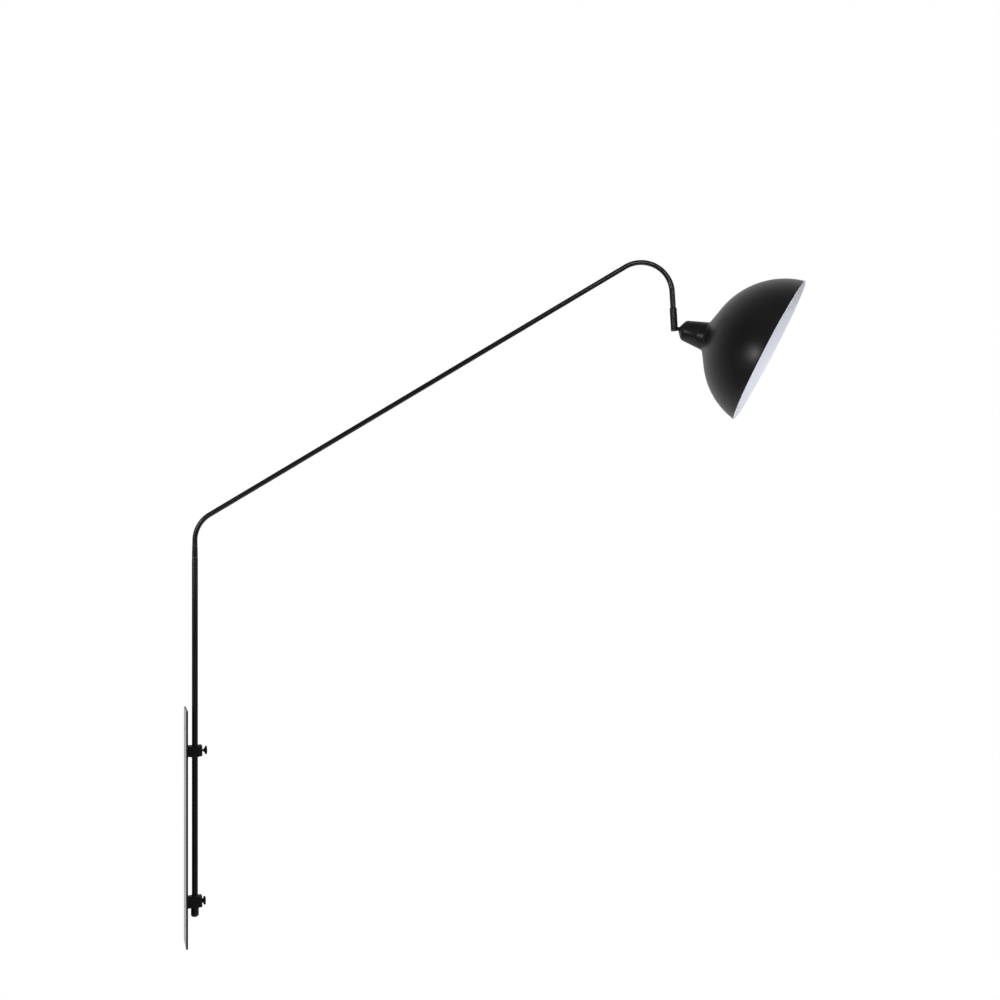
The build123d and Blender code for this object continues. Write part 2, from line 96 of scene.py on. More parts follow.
# Each finish: colours a and b and the two roughnesses are mixed by a cloud of patch mm, and
# a grain of grain mm stands up by rise mm. A ring grain runs round the piece, along its UV map.

finishes = {
    # polyester powder baked on steel: satin black, shallow orange peel, a little dust-grey
    "blackPowderCoat": dict(a="#0d0d0d", b="#121212", rough=(0.22, 0.30), patch=45, grain=1.4,
                            rise=0.0008),
    # the same powder on the clamp blocks, a duller batch with hardly any sheen
    "dullPowderCoat": dict(a="#0d0d0d", b="#131313", rough=(0.50, 0.62), patch=20, grain=0.8,
                           rise=0.002, shine=0.12),
    # satin lacquer over spun aluminium: deep black, faint rings left by the spinning tool
    "blackLacquer": dict(a="#0d0d0d", b="#121212", rough=(0.31, 0.36), patch=60, grain=1.6,
                         rise=0.002, ring=True),
    # stoved white enamel inside the shade: faintly cool, glossy
    "whiteEnamel": dict(a="#e2e4ec", b="#dddfe8", rough=(0.28, 0.36), patch=70, grain=2.2, rise=0.003),
    # cased opal glass, etched inside: milky, light sinks a few mm into it
    "opalGlass": dict(a="#f2f0ea", b="#e9e6de", rough=(0.16, 0.24), patch=18, grain=6.0,
                      rise=0.002, milky=3),
    # dry-film blackened steel: bluish black with an oily sheen
    "blackenedSteel": dict(a="#1b1b1c", b="#2a2a2b", metallic=0.9, rough=(0.30, 0.42),
                           patch=5, grain=0.35, rise=0.004),
    # bright zinc on steel: cool grey with a cloudy passivated look
    "zincPlatedSteel": dict(a="#b4b8bb", b="#c9cbc9", metallic=1.0, rough=(0.28, 0.42),
                            patch=3, grain=0.5, rise=0.004),
    # hardened spring strip: grey-brown temper tint, even
    "springSteel": dict(a="#7d7a76", b="#95938f", metallic=1.0, rough=(0.26, 0.38),
                        patch=4, grain=0.4, rise=0.003),
    # turned brass: yellow, slightly dulled by handling
    "turnedBrass": dict(a="#c9a45c", b="#b98f48", metallic=1.0, rough=(0.24, 0.40),
                        patch=6, grain=0.4, rise=0.003),
    # nickel on brass, as on bulb caps: warm white metal with faint smears
    "nickelPlatedBrass": dict(a="#c9c5bd", b="#bab5ab", metallic=1.0, rough=(0.20, 0.36),
                              patch=5, grain=0.6, rise=0.002),
    # moulded nylon: dull black with a fine spark-eroded skin
    "blackNylon": dict(a="#161616", b="#1d1d1d", rough=(0.48, 0.60), patch=8, grain=0.25, rise=0.006),
    # moulded rubber: matt black, slightly bloomed
    "blackRubber": dict(a="#131313", b="#202020", rough=(0.68, 0.82), patch=4, grain=0.4, rise=0.008),
    # extruded flex sheath: soft matt black
    "flexSheath": dict(a="#171717", b="#1f1f1f", rough=(0.52, 0.64), patch=12, grain=0.3, rise=0.004),
    # pressed phenolic: brown-black, polished by the mould, faint flow marks
    "phenolic": dict(a="#17120f", b="#221b16", rough=(0.20, 0.32), patch=10, grain=0.8, rise=0.003),
    # black glass bead round the contact of a bulb cap
    "blackGlass": dict(a="#0b0b0c", b="#131314", rough=(0.06, 0.14), patch=3, grain=0.9, rise=0.002),
}


def makeFinish(name, a, b, rough, patch, grain, rise, metallic=0.0, ring=False, milky=0, shine=0.5):
    material = bpy.data.materials.new(name)
    tree = emptyTree(material)
    shader = addNode(tree, "ShaderNodeBsdfPrincipled", values={
        "Metallic": metallic, "IOR": 1.5, "Specular IOR Level": shine})
    addNode(tree, "ShaderNodeOutputMaterial", links={"Surface": shader.outputs["BSDF"]})
    if milky:
        shader.inputs["Subsurface Weight"].default_value = 0.4
        shader.inputs["Subsurface Scale"].default_value = milky * mm
    coords = addNode(tree, "ShaderNodeTexCoord")
    cloud = noise(tree, coords.outputs["Object"], patch, detail=5.0)
    tint = addNode(tree, "ShaderNodeValToRGB", links={"Fac": cloud})
    for stop, place, colour in zip(tint.color_ramp.elements, (0.35, 0.75), (a, b)):
        stop.position, stop.color = place, linear(colour)
    tree.links.new(tint.outputs["Color"], shader.inputs["Base Color"])
    tree.links.new(ranged(tree, cloud, *rough), shader.inputs["Roughness"])
    # on a ring grain the turn, which the UV map runs over once, is squeezed to a few features
    if ring:
        height = noise(tree, coords.outputs["UV"], grain, stretch=(0.003, 1, 1))
    else:
        height = noise(tree, coords.outputs["Object"], grain)
    bump = addNode(tree, "ShaderNodeBump", values={"Strength": 1.0, "Distance": rise * mm},
                   links={"Height": height})
    tree.links.new(bump.outputs["Normal"], shader.inputs["Normal"])
    return material


materials = {name: makeFinish(name, **values) for name, values in finishes.items()}


# light grey, metallic colour for the plate's back: the faces whose normal's X is below facesBelow
lightBack = {"colour": "#c4c5c6", "facesBelow": -0.9}


def lightBackCoat():
    # the plate's powder coat, with the face that looks along -X made light grey and fully metallic
    material = makeFinish("plateCoat", **finishes["blackPowderCoat"])
    tree = material.node_tree
    shader = tree.nodes["Principled BSDF"]
    coords = addNode(tree, "ShaderNodeTexCoord")
    facing = addNode(tree, "ShaderNodeSeparateXYZ", links={0: coords.outputs["Normal"]})
    back = addNode(tree, "ShaderNodeMath", operation="LESS_THAN", values={1: lightBack["facesBelow"]},
                   links={0: facing.outputs["X"]})
    coat = shader.inputs["Base Color"].links[0].from_socket
    greyBack = addNode(tree, "ShaderNodeMix", data_type="RGBA", values={7: linear(lightBack["colour"])},
                   links={0: back.outputs[0], 6: coat})
    tree.links.new(greyBack.outputs[2], shader.inputs["Base Color"])
    tree.links.new(back.outputs[0], shader.inputs["Metallic"])
    return material


materials["plateCoat"] = lightBackCoat()
print("materials:", len(materials))


# Meshes from grids.

def gridPiece(name, points, materialNames, body, replaced, wrapAlong=True, faceMaterial=None,
              sharpAngle=35):
    # A surface from a grid of points (round, along, xyz): a quad between each four neighbours,
    # closed round, and along where it wraps. UV is the turn, and the length along in metres.
    around, along = points.shape[:2]
    u, v = np.meshgrid(np.arange(around), np.arange(along if wrapAlong else along - 1), indexing="ij")
    u, v = u.ravel(), v.ravel()
    steps = [(0, 0), (1, 0), (1, 1), (0, 1)]
    quads = np.stack([((u + du) % around) * along + (v + dv) % along for du, dv in steps], 1)
    closed = np.concatenate([points, points[:, :1]], 1)
    lengths = np.linalg.norm(np.diff(closed, axis=1), axis=2).mean(0)
    reach = np.concatenate([[0], np.cumsum(lengths)])
    uv = np.stack([np.stack([(u + du) / around, reach[v + dv]], 1) for du, dv in steps], 1)
    flat = points.reshape(-1, 3)
    a, b, c, d = (flat[quads[:, k]] for k in range(4))
    middle = flat.mean(0)
    volume = np.einsum("ij,ij->", a - middle, np.cross(b - middle, c - middle))
    volume += np.einsum("ij,ij->", a - middle, np.cross(c - middle, d - middle))
    if volume < 0:
        quads, uv = quads[:, ::-1], uv[:, ::-1]

    mesh = bpy.data.meshes.new(name)
    mesh.vertices.add(len(flat))
    mesh.vertices.foreach_set("co", flat.ravel().astype(np.float32))
    mesh.loops.add(quads.size)
    mesh.loops.foreach_set("vertex_index", quads.ravel().astype(np.int32))
    mesh.polygons.add(len(quads))
    mesh.polygons.foreach_set("loop_start", np.arange(0, quads.size, 4, dtype=np.int32))
    mesh.polygons.foreach_set("loop_total", np.full(len(quads), 4, dtype=np.int32))
    if faceMaterial is not None:
        mesh.polygons.foreach_set("material_index", faceMaterial[v].astype(np.int32))
    mesh.update(calc_edges=True)
    mesh.uv_layers.new(name="UVMap").data.foreach_set("uv", uv.ravel().astype(np.float32))
    mesh.validate()

    work = bmesh.new()      # closes poles, where a whole ring is one point
    work.from_mesh(mesh)
    bmesh.ops.remove_doubles(work, verts=work.verts, dist=1e-6)
    work.to_mesh(mesh)
    work.free()
    mesh.shade_smooth()
    mesh.set_sharp_from_angle(angle=radians(sharpAngle))
    for materialName in materialNames:
        mesh.materials.append(materials[materialName])
    piece = bpy.data.objects.new(name, mesh)
    bpy.context.scene.collection.objects.link(piece)
    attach(piece, body)
    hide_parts(*replaced)
    return piece


def onFrame(where, local):
    # local points to the part's frame: where is (origin, axes as columns)
    return where[0] + local @ where[1].T


def roundedOutline(corners, closed=False, step=0.5 * mm):
    # An outline of (radius, height, rounding) corners: straight runs, and an arc of the
    # given rounding tangent to both runs at a corner. The arc's points are about step apart.
    corners = np.array(corners, float) * mm
    count = len(corners)
    outline = []
    for i, (x, y, rounding) in enumerate(corners):
        here = np.array([x, y])
        if rounding <= 0 or (not closed and i in (0, count - 1)):
            outline.append(here[None])
            continue
        back = corners[i - 1, :2] - here
        ahead = corners[(i + 1) % count, :2] - here
        lengthBack, lengthAhead = np.hypot(*back), np.hypot(*ahead)
        back, ahead = back / lengthBack, ahead / lengthAhead
        half = acos(np.clip(back @ ahead, -1, 1)) / 2
        reach = min(rounding / tan(half), 0.49 * lengthBack, 0.49 * lengthAhead)
        radius = reach * tan(half)
        centre = here + (back + ahead) / np.hypot(*(back + ahead)) * radius / sin(half)
        first, last = here + back * reach - centre, here + ahead * reach - centre
        start = atan2(first[1], first[0])
        turn = (atan2(last[1], last[0]) - start + pi) % (2 * pi) - pi
        pieces = max(3, ceil(abs(turn) * radius / step))
        angle = start + turn * np.linspace(0, 1, pieces + 1)
        outline.append(centre + radius * np.stack([np.cos(angle), np.sin(angle)], 1))
    return np.concatenate(outline)


def evenly(outline, step):
    # the same open outline with extra points, none further than step apart
    gaps = np.linalg.norm(np.diff(outline, axis=0), axis=1)
    counts = np.maximum(1, np.ceil(gaps / step)).astype(int)
    share = [i + np.arange(n) / n for i, n in enumerate(counts)]
    at = np.concatenate(share + [[len(gaps)]])
    return np.stack([np.interp(at, np.arange(len(outline)), outline[:, k]) for k in (0, 1)], 1)


def turnedPiece(name, outline, where, materialNames, body, replaced, segments, closed=True, ripple=None,
                faceMaterial=None, sharpAngle=35):
    # A turned piece: the outline's points (radius, height) go round the frame's Z axis, and
    # a ripple of (angle, radius, height), such as a knurl or a thread, is added to the radius.
    angle = np.arange(segments)[:, None] / segments * 2 * pi
    radius, height = outline[None, :, 0] + 0 * angle, outline[None, :, 1] + 0 * angle
    if ripple:
        radius = np.where(radius > 1e-9, radius + ripple(angle, radius, height), radius)
    local = np.stack([radius * np.cos(angle), radius * np.sin(angle), height], -1)
    return gridPiece(name, onFrame(where, local), materialNames, body, replaced, wrapAlong=closed,
                     faceMaterial=faceMaterial, sharpAngle=sharpAngle)


def threadRipple(pitch, depth, low, high, minRadius):
    # A round thread: the radius dips by depth once each pitch of height less turn, and the
    # dip fades in and out within one pitch of the thread's ends.
    def ripple(angle, radius, height):
        wave = 0.5 - 0.5 * np.cos(2 * pi * (height / pitch - angle / (2 * pi)))
        fade = np.clip((height - low) / pitch, 0, 1) * np.clip((high - height) / pitch, 0, 1)
        return -depth * wave * fade * (radius > minRadius)
    return ripple


# Places, all from the frame.

hangAngle = radians(69.5)       # the neck from the housing's axis, at rest
tubeAxis = np.array([*joints["arm_swing"]["pos_m"][:2], 0.0])
tipAxis = -np.array(joints["shade_swivel"]["axis"])
tipPoint = np.array(joints["shade_swivel"]["pos_m"])
ballPoint = np.array(joints["shade_tilt"]["pos_m"])
tiltAxis = np.array(joints["shade_tilt"]["axis"])
slotWay = np.cross(tiltAxis, tipAxis)
neckAxis = cos(hangAngle) * tipAxis + sin(hangAngle) * slotWay
neckUp = cos(hangAngle) * slotWay - sin(hangAngle) * tipAxis
neck = (ballPoint, np.stack([neckUp, np.cross(neckAxis, neckUp), neckAxis], 1))
housing = (tipPoint, np.stack([slotWay, tiltAxis, tipAxis], 1))
armWay = tipPoint - tubeAxis
armWay[2] = 0
armWay /= np.linalg.norm(armWay)
sideWay = np.cross([0, 0, 1], armWay)
upright = (tubeAxis, np.stack([armWay, sideWay, [0, 0, 1]], 1))


armTube = {"radius": 4.0, "wall": 1.0, "aboveSeam": 26.8, "lowerBend": 48.2, "riseAngle": 30.8,
           "straight": 774.2, "endBend": 49.7, "dropAngle": 86.6, "endDrop": 24.9,
           "swagedRadius": 4.45, "swageFrom": 60.0, "swageTo": 30.0, "seamRadius": 4.55, "seamFrom": 28.0,
           "seamTo": 6.0, "segments": 48, "bendStep": 1.5, "runStep": 2.5, "runSplit": 50.0}


def armCentreLine():
    # In the arm's plane (out, up): a run up from the seam, an arc that turns towards the
    # rise angle, a long run, an arc over the top, and a short run down. Returns points and headings.
    rise, drop = radians(armTube["riseAngle"]), radians(armTube["dropAngle"])
    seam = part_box("arm_tube")[0][2]
    point, heading = np.array([0.0, seam]), pi / 2
    points, headings = [point[None]], [np.array([heading])]
    runs = [("run", armTube["aboveSeam"]), ("bend", armTube["lowerBend"], rise),
            ("run", armTube["straight"]), ("bend", armTube["endBend"], -drop), ("run", armTube["endDrop"])]
    for kind, size, *target in runs:
        if kind == "run":
            # a long run gets as many points as its first runSplit would
            count = max(1, ceil(min(size, armTube["runSplit"]) / armTube["runStep"]))
            share = np.linspace(0, 1, count + 1)[1:, None]
            points.append(point + share * size * mm * np.array([cos(heading), sin(heading)]))
            headings.append(np.full(len(share), heading))
            point = points[-1][-1]
            continue
        turn = heading - target[0]
        centre = point + size * mm * np.array([sin(heading), -cos(heading)])
        at = heading - turn * np.linspace(0, 1, ceil(turn * size / armTube["bendStep"]) + 1)[1:]
        points.append(centre + size * mm * np.stack([-np.sin(at), np.cos(at)], 1))
        headings.append(at)
        point, heading = points[-1][-1], target[0]
    return np.concatenate(points), np.concatenate(headings)


def makeArmTube():
    # Each centre-line point carries a circle square to its heading: out along the skin,
    # round the end, and back along the bore. Towards the tip and towards the seam the skin
    # swells, smoothly, to the swaged ends that hold the swivel's plug and the ferrule.
    points, headings = armCentreLine()
    steps = np.linalg.norm(np.diff(points, axis=0), axis=1) / mm
    fromSeam = np.append(0, steps.cumsum())

    def swelling(distance, start, end, radius):
        share = np.clip((start - distance) / (start - end), 0, 1)
        return (radius - armTube["radius"]) * share ** 2 * (3 - 2 * share)

    fromTip = fromSeam[-1] - fromSeam
    swell = swelling(fromTip, armTube["swageFrom"], armTube["swageTo"], armTube["swagedRadius"])
    swell += swelling(fromSeam, armTube["seamFrom"], armTube["seamTo"], armTube["seamRadius"])
    order = np.concatenate([np.arange(len(points)), np.arange(len(points))[::-1]])
    bore = np.full(len(points), armTube["radius"] - armTube["wall"])
    size = np.concatenate([armTube["radius"] + swell, bore]) * mm
    angle = np.arange(armTube["segments"])[:, None] / armTube["segments"] * 2 * pi
    inPlane = np.cos(angle) * size
    across = np.sin(angle) * size
    heading = headings[order][None]
    local = np.stack([points[order, 0] - np.sin(heading) * inPlane, across + 0 * heading,
                      points[order, 1] + np.cos(heading) * inPlane], -1)
    return gridPiece("bent_arm_tube", onFrame(upright, local), ["blackPowderCoat"], "arm", ["arm_tube"])


makeArmTube()

standingTube = {"radius": 4.75, "wall": 1.0, "topRound": 0.45, "highlightTo": 0.6, "groove": (1.3, 2.1),
                "grooveDepth": 0.3, "edgeRound": 0.1, "segments": 72}


def makeStandingTube():
    # a coated tube with a fine groove under its top edge; the top edge is bright zinc, a painted highlight
    # line
    low, high = (corner[2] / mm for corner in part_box("lower_tube"))
    radius, bore = standingTube["radius"], standingTube["radius"] - standingTube["wall"]
    near, far = (high - down for down in standingTube["groove"])
    floor, edge = radius - standingTube["grooveDepth"], standingTube["edgeRound"]
    outline = roundedOutline([
        (radius, low, 0), (radius, far, edge), (floor, (near + far) / 2, edge), (radius, near, edge),
        (radius, high - standingTube["highlightTo"], 0), (radius, high, standingTube["topRound"]),
        (bore, high, edge), (bore, low, 0)], closed=True, step=0.1 * mm)
    # the top band of the tube gets bright zinc: a painted highlight along its top edge
    paintedHighlight = (outline[:, 1] > (high - standingTube["highlightTo"] - 0.01) * mm).astype(int)
    return turnedPiece("standing_tube", outline, upright, ["blackPowderCoat", "zincPlatedSteel"], "arm",
                       ["lower_tube"], segments=standingTube["segments"], faceMaterial=paintedHighlight)


makeStandingTube()
print("tubes made")


# The cup behind the dome and the dome itself, heights along the neck from the ball, in mm.
cup = {"back": 8.2, "backRadius": 4.4, "shoulder": 15.2, "shoulderRadius": 15.9, "shoulderRound": 9.0,
       "coneAngle": 10.6, "front": 40.0, "lipEnd": 58.5, "wall": 1.5, "floor": 13.3, "bore": 3.15,
       "edgeRound": 0.3, "fineRound": 0.1, "backRound": 0.8, "innerRound": 2.0, "floorRound": 1.0,
       "lipPlay": 0.05, "segments": 160}
dome = {"radius": 121.5, "wall": 1.2, "centre": 175.15, "rim": 153.5, "rimSlant": 10.5, "backSlope": 23.8,
        "flare": 6.0, "segments": 320, "domeRows": 80, "coneRows": 14, "flareRows": 10, "lipRows": 8,
        "lipBlackRows": 2}
coneSlope, domeSlope = radians(cup["coneAngle"]), radians(dome["backSlope"])
collarRadius = cup["shoulderRadius"] + (cup["front"] - cup["shoulder"]) * tan(coneSlope)
offCollar = np.array([cos(coneSlope), -sin(coneSlope)])
offDome = np.array([sin(domeSlope), -cos(domeSlope)])


def flareCentre():
    # centre of the hollow round that touches the collar and the cone at the dome's back: from
    # a foot square off the collar it goes along it until the cone is as far away
    foot = np.array([collarRadius, cup["front"]]) + offCollar * dome["flare"]
    back = np.array([0, dome["centre"]]) + offDome * dome["radius"]
    along = np.array([sin(coneSlope), cos(coneSlope)])
    return foot + along * (dome["flare"] - (foot - back) @ offDome) / (along @ offDome)


def domeSkin(inset, slant):
    # One side of the wall for each slant value (a row of angles round the axis): collar, hollow
    # round, cone and sphere, the last ending where the slanted plane of the mouth cuts it.
    radius = dome["radius"] - inset
    start = np.array([collarRadius - inset / cos(coneSlope), cup["front"]])
    bend = np.linspace(pi - coneSlope, pi / 2 + domeSlope, dome["flareRows"] + 1)
    flare = flareCentre() + (dome["flare"] + inset) * np.stack([np.cos(bend), np.sin(bend)], 1)
    back = np.array([0, dome["centre"]]) + offDome * radius
    cone = flare[-1] + (back - flare[-1]) * np.linspace(0, 1, dome["coneRows"] + 1)[1:, None]
    lip = cutAngle(radius, slant)
    share = np.linspace(0, 1, dome["domeRows"] + 1)[1:]
    theta = domeSlope + (lip[:, None] - domeSlope) * share
    sphere = np.stack([radius * np.sin(theta), dome["centre"] - radius * np.cos(theta)], -1)
    fixed = np.concatenate([start[None], flare, cone])
    return np.concatenate([np.broadcast_to(fixed, (len(slant), *fixed.shape)), sphere], 1)


def cutAngle(radius, slant):
    # where the plane of the mouth cuts a sphere of this radius, less half a wall for the lip:
    # the polar angle from the back where cos(angle) + slant sin(angle) = (centre - rim) / radius
    level = (dome["centre"] - dome["rim"]) / radius
    whole = np.arctan(slant) + np.arccos(level / np.sqrt(1 + slant ** 2))
    return whole - 0.5 * dome["wall"] / dome["radius"]


def makeDome():
    # Outer skin, half-round lip, inner skin and collar end make one closed loop, turned
    # about the neck; black outside, white enamel from the lip's crest inwards.
    angle = np.arange(dome["segments"]) / dome["segments"] * 2 * pi
    slant = np.cos(angle) * tan(radians(dome["rimSlant"]))
    outer, inner = domeSkin(0, slant), domeSkin(dome["wall"], slant)
    half = dome["wall"] / 2
    middleRadius = dome["radius"] - half
    turn = np.linspace(0, pi, dome["lipRows"] + 2)[1:-1]
    radius = middleRadius + half * np.cos(turn)
    theta = cutAngle(middleRadius, slant)[:, None] + half / middleRadius * np.sin(turn)
    lip = np.stack([radius * np.sin(theta), dome["centre"] - radius * np.cos(theta)], -1)
    loop = np.concatenate([outer, lip, inner[:, ::-1]], 1) * mm
    local = np.stack([loop[..., 0] * np.cos(angle)[:, None], loop[..., 0] * np.sin(angle)[:, None],
                      loop[..., 1]], -1)
    side = (np.arange(loop.shape[1]) >= outer.shape[1] + dome["lipBlackRows"] - 1).astype(int)
    return gridPiece("spun_dome", onFrame(neck, local), ["blackLacquer", "whiteEnamel"], "shade_head",
                     ["shade_dome"], faceMaterial=side, sharpAngle=60)


makeDome()


def makeCup():
    # round the section: back, shoulder and cone outside, the lip that the dome's collar sits on,
    # then the throat and the floor inside
    lip = collarRadius - dome["wall"] / cos(coneSlope) - cup["lipPlay"]
    throat = lip - cup["wall"]
    edge, fine, inner = cup["edgeRound"], cup["fineRound"], cup["innerRound"]
    outline = roundedOutline([
        (cup["bore"], cup["back"], fine), (cup["backRadius"], cup["back"], cup["backRound"]),
        (cup["shoulderRadius"], cup["shoulder"], cup["shoulderRound"]),
        (collarRadius, cup["front"], edge), (lip, cup["front"], fine),
        (lip, cup["lipEnd"], edge), (throat, cup["lipEnd"], edge),
        (throat, cup["front"] - cup["wall"], inner),
        (cup["shoulderRadius"] - cup["wall"], cup["shoulder"] + 2 * cup["wall"], inner),
        (cup["shoulderRadius"] - 4 * cup["wall"], cup["floor"], cup["floorRound"]),
        (cup["bore"], cup["floor"], fine)], closed=True, step=0.4 * mm)
    return turnedPiece("cast_cup", outline, neck, ["blackLacquer"], "shade_head", ["socket_cup"],
                       segments=cup["segments"], sharpAngle=50)


makeCup()
print("shade and cup made")


thumbscrew = {"shank": 2.0, "pitch": 0.7, "threadDepth": 0.35, "knob": 6.6, "knobThick": 3.2,
              "neckStart": 2.8, "neck": 4.2, "neckLength": 2.0, "edgeRound": 0.8, "teeth": 44,
              "toothDepth": 0.32, "toothFrom": 0.6, "toothFade": 0.5, "dish": 0.35, "dishRim": 1.6,
              "dishFloor": 2.0, "dishRound": 0.2, "fineRound": 0.3, "pastThread": (0.3, 0.2),
              "rowStep": 0.14, "segments": 264}


def makeThumbscrew(word):
    # Turned about X: a threaded shank, a coned neck and a disc whose rim is knurled, with a
    # shallow dish in its face.
    low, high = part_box(word + "_thumbscrew")
    middle = (low + high) / 2
    where = (np.array([low[0], middle[1], middle[2]]),
             np.stack([[0, 0, 1.0], [0, -1.0, 0], [1.0, 0, 0]], 1))
    length = (high[0] - low[0]) / mm
    knobStart = length - thumbscrew["knobThick"]
    shankEnd = knobStart - thumbscrew["neckLength"]
    shank, knob, edge = thumbscrew["shank"], thumbscrew["knob"], thumbscrew["edgeRound"]
    fine, dishRound = thumbscrew["fineRound"], thumbscrew["dishRound"]
    dishFloor = length - thumbscrew["dish"]
    outline = roundedOutline([
        (0, 0, 0), (shank, 0, fine), (shank, shankEnd, 0), (thumbscrew["neckStart"], shankEnd, fine),
        (thumbscrew["neck"], knobStart, edge), (knob, knobStart, edge), (knob, length, edge),
        (knob - thumbscrew["dishRim"], length, dishRound),
        (knob - thumbscrew["dishFloor"], dishFloor, dishRound), (0, dishFloor, 0)], step=0.12 * mm)
    outline = evenly(outline, thumbscrew["rowStep"] * mm)
    before, after = thumbscrew["pastThread"]
    thread = threadRipple(thumbscrew["pitch"] * mm, thumbscrew["threadDepth"] * mm, -before * mm,
                          (shankEnd + after) * mm, 0.5 * shank * mm)

    def ripple(angle, radius, height):
        # knurl: straight teeth on the rim, as deep as the rim's own roundness lets them be
        tooth = np.abs((angle * thumbscrew["teeth"] / (2 * pi)) % 1 - 0.5) * 2
        onRim = np.clip((radius / mm - knob + thumbscrew["toothFrom"]) / thumbscrew["toothFade"], 0, 1)
        return thread(angle, radius, height) - thumbscrew["toothDepth"] * mm * tooth * onRim

    return turnedPiece(word + "_knurled_screw", outline, where, ["blackenedSteel"], word + "_screw",
                       [word + "_thumbscrew"], segments=thumbscrew["segments"], closed=False, ripple=ripple)


for word in ("upper", "lower"):
    makeThumbscrew(word)
print("thumbscrews made")


bulb = {"globe": 22.5, "length": 78.0, "capRadius": 6.9, "capLength": 22.0,
        "tipRadius": 2.4, "tipLength": 2.5, "tipFlat": 2, "capShoulder": 2, "pitch": 2.82,
        "threadDepth": 0.75, "threadFrom": 1.5, "threadTo": 3.5, "threadMinRadius": 6.2,
        "neckAngle": -35, "crownRows": 60, "segments": 128}


def makeBulb():
    # Glass: a neck that swells into a globe, closed at its crown. Cap: a rolled Edison thread,
    # which is a round wave of the radius, one pitch for each turn.
    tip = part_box("bulb_tip")    # the cap's foot stands on the tip
    foot = (np.array(tip[0]) + np.array(tip[1])) / 2 - ballPoint
    low = foot @ neckAxis / mm - bulb["tipLength"] / 2
    capEnd, globeAt = low + bulb["capLength"], low + bulb["length"] - bulb["globe"]
    bottom = radians(bulb["neckAngle"])
    swell = (bulb["globe"] * cos(bottom), globeAt + bulb["globe"] * sin(bottom))
    crown = np.linspace(bottom, pi / 2, bulb["crownRows"])
    neckPart = roundedOutline([(0, capEnd, 0), (bulb["capRadius"], capEnd, 0.3), (*swell, 0)],
                              step=0.3 * mm)
    globe = np.stack([np.cos(crown), np.sin(crown)], 1) * bulb["globe"]
    globe = (globe + [0, globeAt]) * mm
    outline = np.concatenate([evenly(neckPart, 1.0 * mm), globe[1:]])
    outline[-1, 0] = 0
    turnedPiece("opal_bulb", outline, neck, ["opalGlass"], "shade_head", ["bulb_glass"],
                segments=bulb["segments"], closed=False, sharpAngle=70)
    capLow = low + bulb["tipLength"]
    cap = roundedOutline([
        (0, capLow, 0), (bulb["tipRadius"] + bulb["tipFlat"], capLow, 0),
        (bulb["capRadius"], capLow + bulb["capShoulder"], 0.5), (bulb["capRadius"], capEnd, 0.2),
        (0, capEnd, 0)], step=0.2 * mm)
    ripple = threadRipple(bulb["pitch"] * mm, bulb["threadDepth"] * mm,
                          (capLow + bulb["threadFrom"]) * mm, (capEnd - bulb["threadTo"]) * mm,
                          bulb["threadMinRadius"] * mm)
    turnedPiece("threaded_bulb_cap", evenly(cap, 0.25 * mm), neck, ["nickelPlatedBrass"], "shade_head",
                ["bulb_cap"], segments=bulb["segments"], closed=False, ripple=ripple)


makeBulb()
print("bulb made")


# CAD nodes that stay, with their finish.

finishOf = {
    "plateCoat": ["wall_plate"],
    "dullPowderCoat": ["upper_clamp_block", "lower_clamp_block"],
    "blackPowderCoat": ["end_cap", "ball_housing", "lower_tube", "arm_tube"],
    "blackLacquer": ["shade_dome", "socket_cup"],
    "blackenedSteel": ["upper_thumbscrew", "lower_thumbscrew", "swivel_spigot", "ball_stem"],
    "zincPlatedSteel": ["block_screws", "joint_ferrule", "cup_nut", "holder_nut"],
    "springSteel": ["disc_springs"],
    "turnedBrass": ["housing_ring", "spacer_tube", "dome_ring", "screw_shell", "centre_contact"],
    "nickelPlatedBrass": ["bulb_cap"],
    "blackNylon": ["upper_bush", "lower_bush", "upper_screw_pad", "lower_screw_pad", "ball_seat"],
    "blackRubber": ["cord_grommet"],
    "flexSheath": ["arm_flex", "neck_flex"],
    "phenolic": ["holder_cap", "holder_body"],
    "blackGlass": ["bulb_tip"],
    "opalGlass": ["bulb_glass"],
}
for materialName, names in finishOf.items():
    for name in names:
        nodes[name].data.materials.clear()
        nodes[name].data.materials.append(materials[materialName])
print("finishes on", sum(len(names) for names in finishOf.values()), "nodes")


view = {"lens": 43.2, "sensor": 36.0, "distance": 1.92, "along": 0.48816, "height": 0.5216}


def makeCamera():
    # level, facing the arm's plane square on
    data = bpy.data.cameras.new("camera")
    data.lens, data.sensor_width, data.sensor_fit = view["lens"], view["sensor"], "HORIZONTAL"
    data.clip_start, data.clip_end = 0.05, 50
    camera = bpy.data.objects.new("camera", data)
    bpy.context.scene.collection.objects.link(camera)
    place = tubeAxis + armWay * view["along"] - sideWay * view["distance"] + [0, 0, view["height"]]
    turn = Matrix([armWay, [0, 0, 1], -sideWay]).transposed()
    camera.matrix_world = Matrix.Translation(Vector(place)) @ turn.to_4x4()
    bpy.context.scene.camera = camera
    return Vector(place)


cameraPlace = makeCamera()

lampAim = {"along": 0.55, "up": 0.45}
lamps = {
    # way from the aim (along the arm, towards the camera, up), size in m, power in W, and
    # whether mirror rays see it
    "left softbox": dict(way=(-1.50, 1.55, 0.30), size=0.24, power=6, mirrored=True),
    "right softbox": dict(way=(1.75, 1.10, 0.55), size=0.30, power=6, mirrored=True),
    "high softbox": dict(way=(0.37, 1.94, 0.92), size=0.36, power=5, mirrored=True),
    "front softbox": dict(way=(0.4, 2.3, 0.9), size=1.2, power=26, mirrored=False),
    "top softbox": dict(way=(0.3, -0.2, 2.2), size=1.6, power=34, mirrored=False),
}


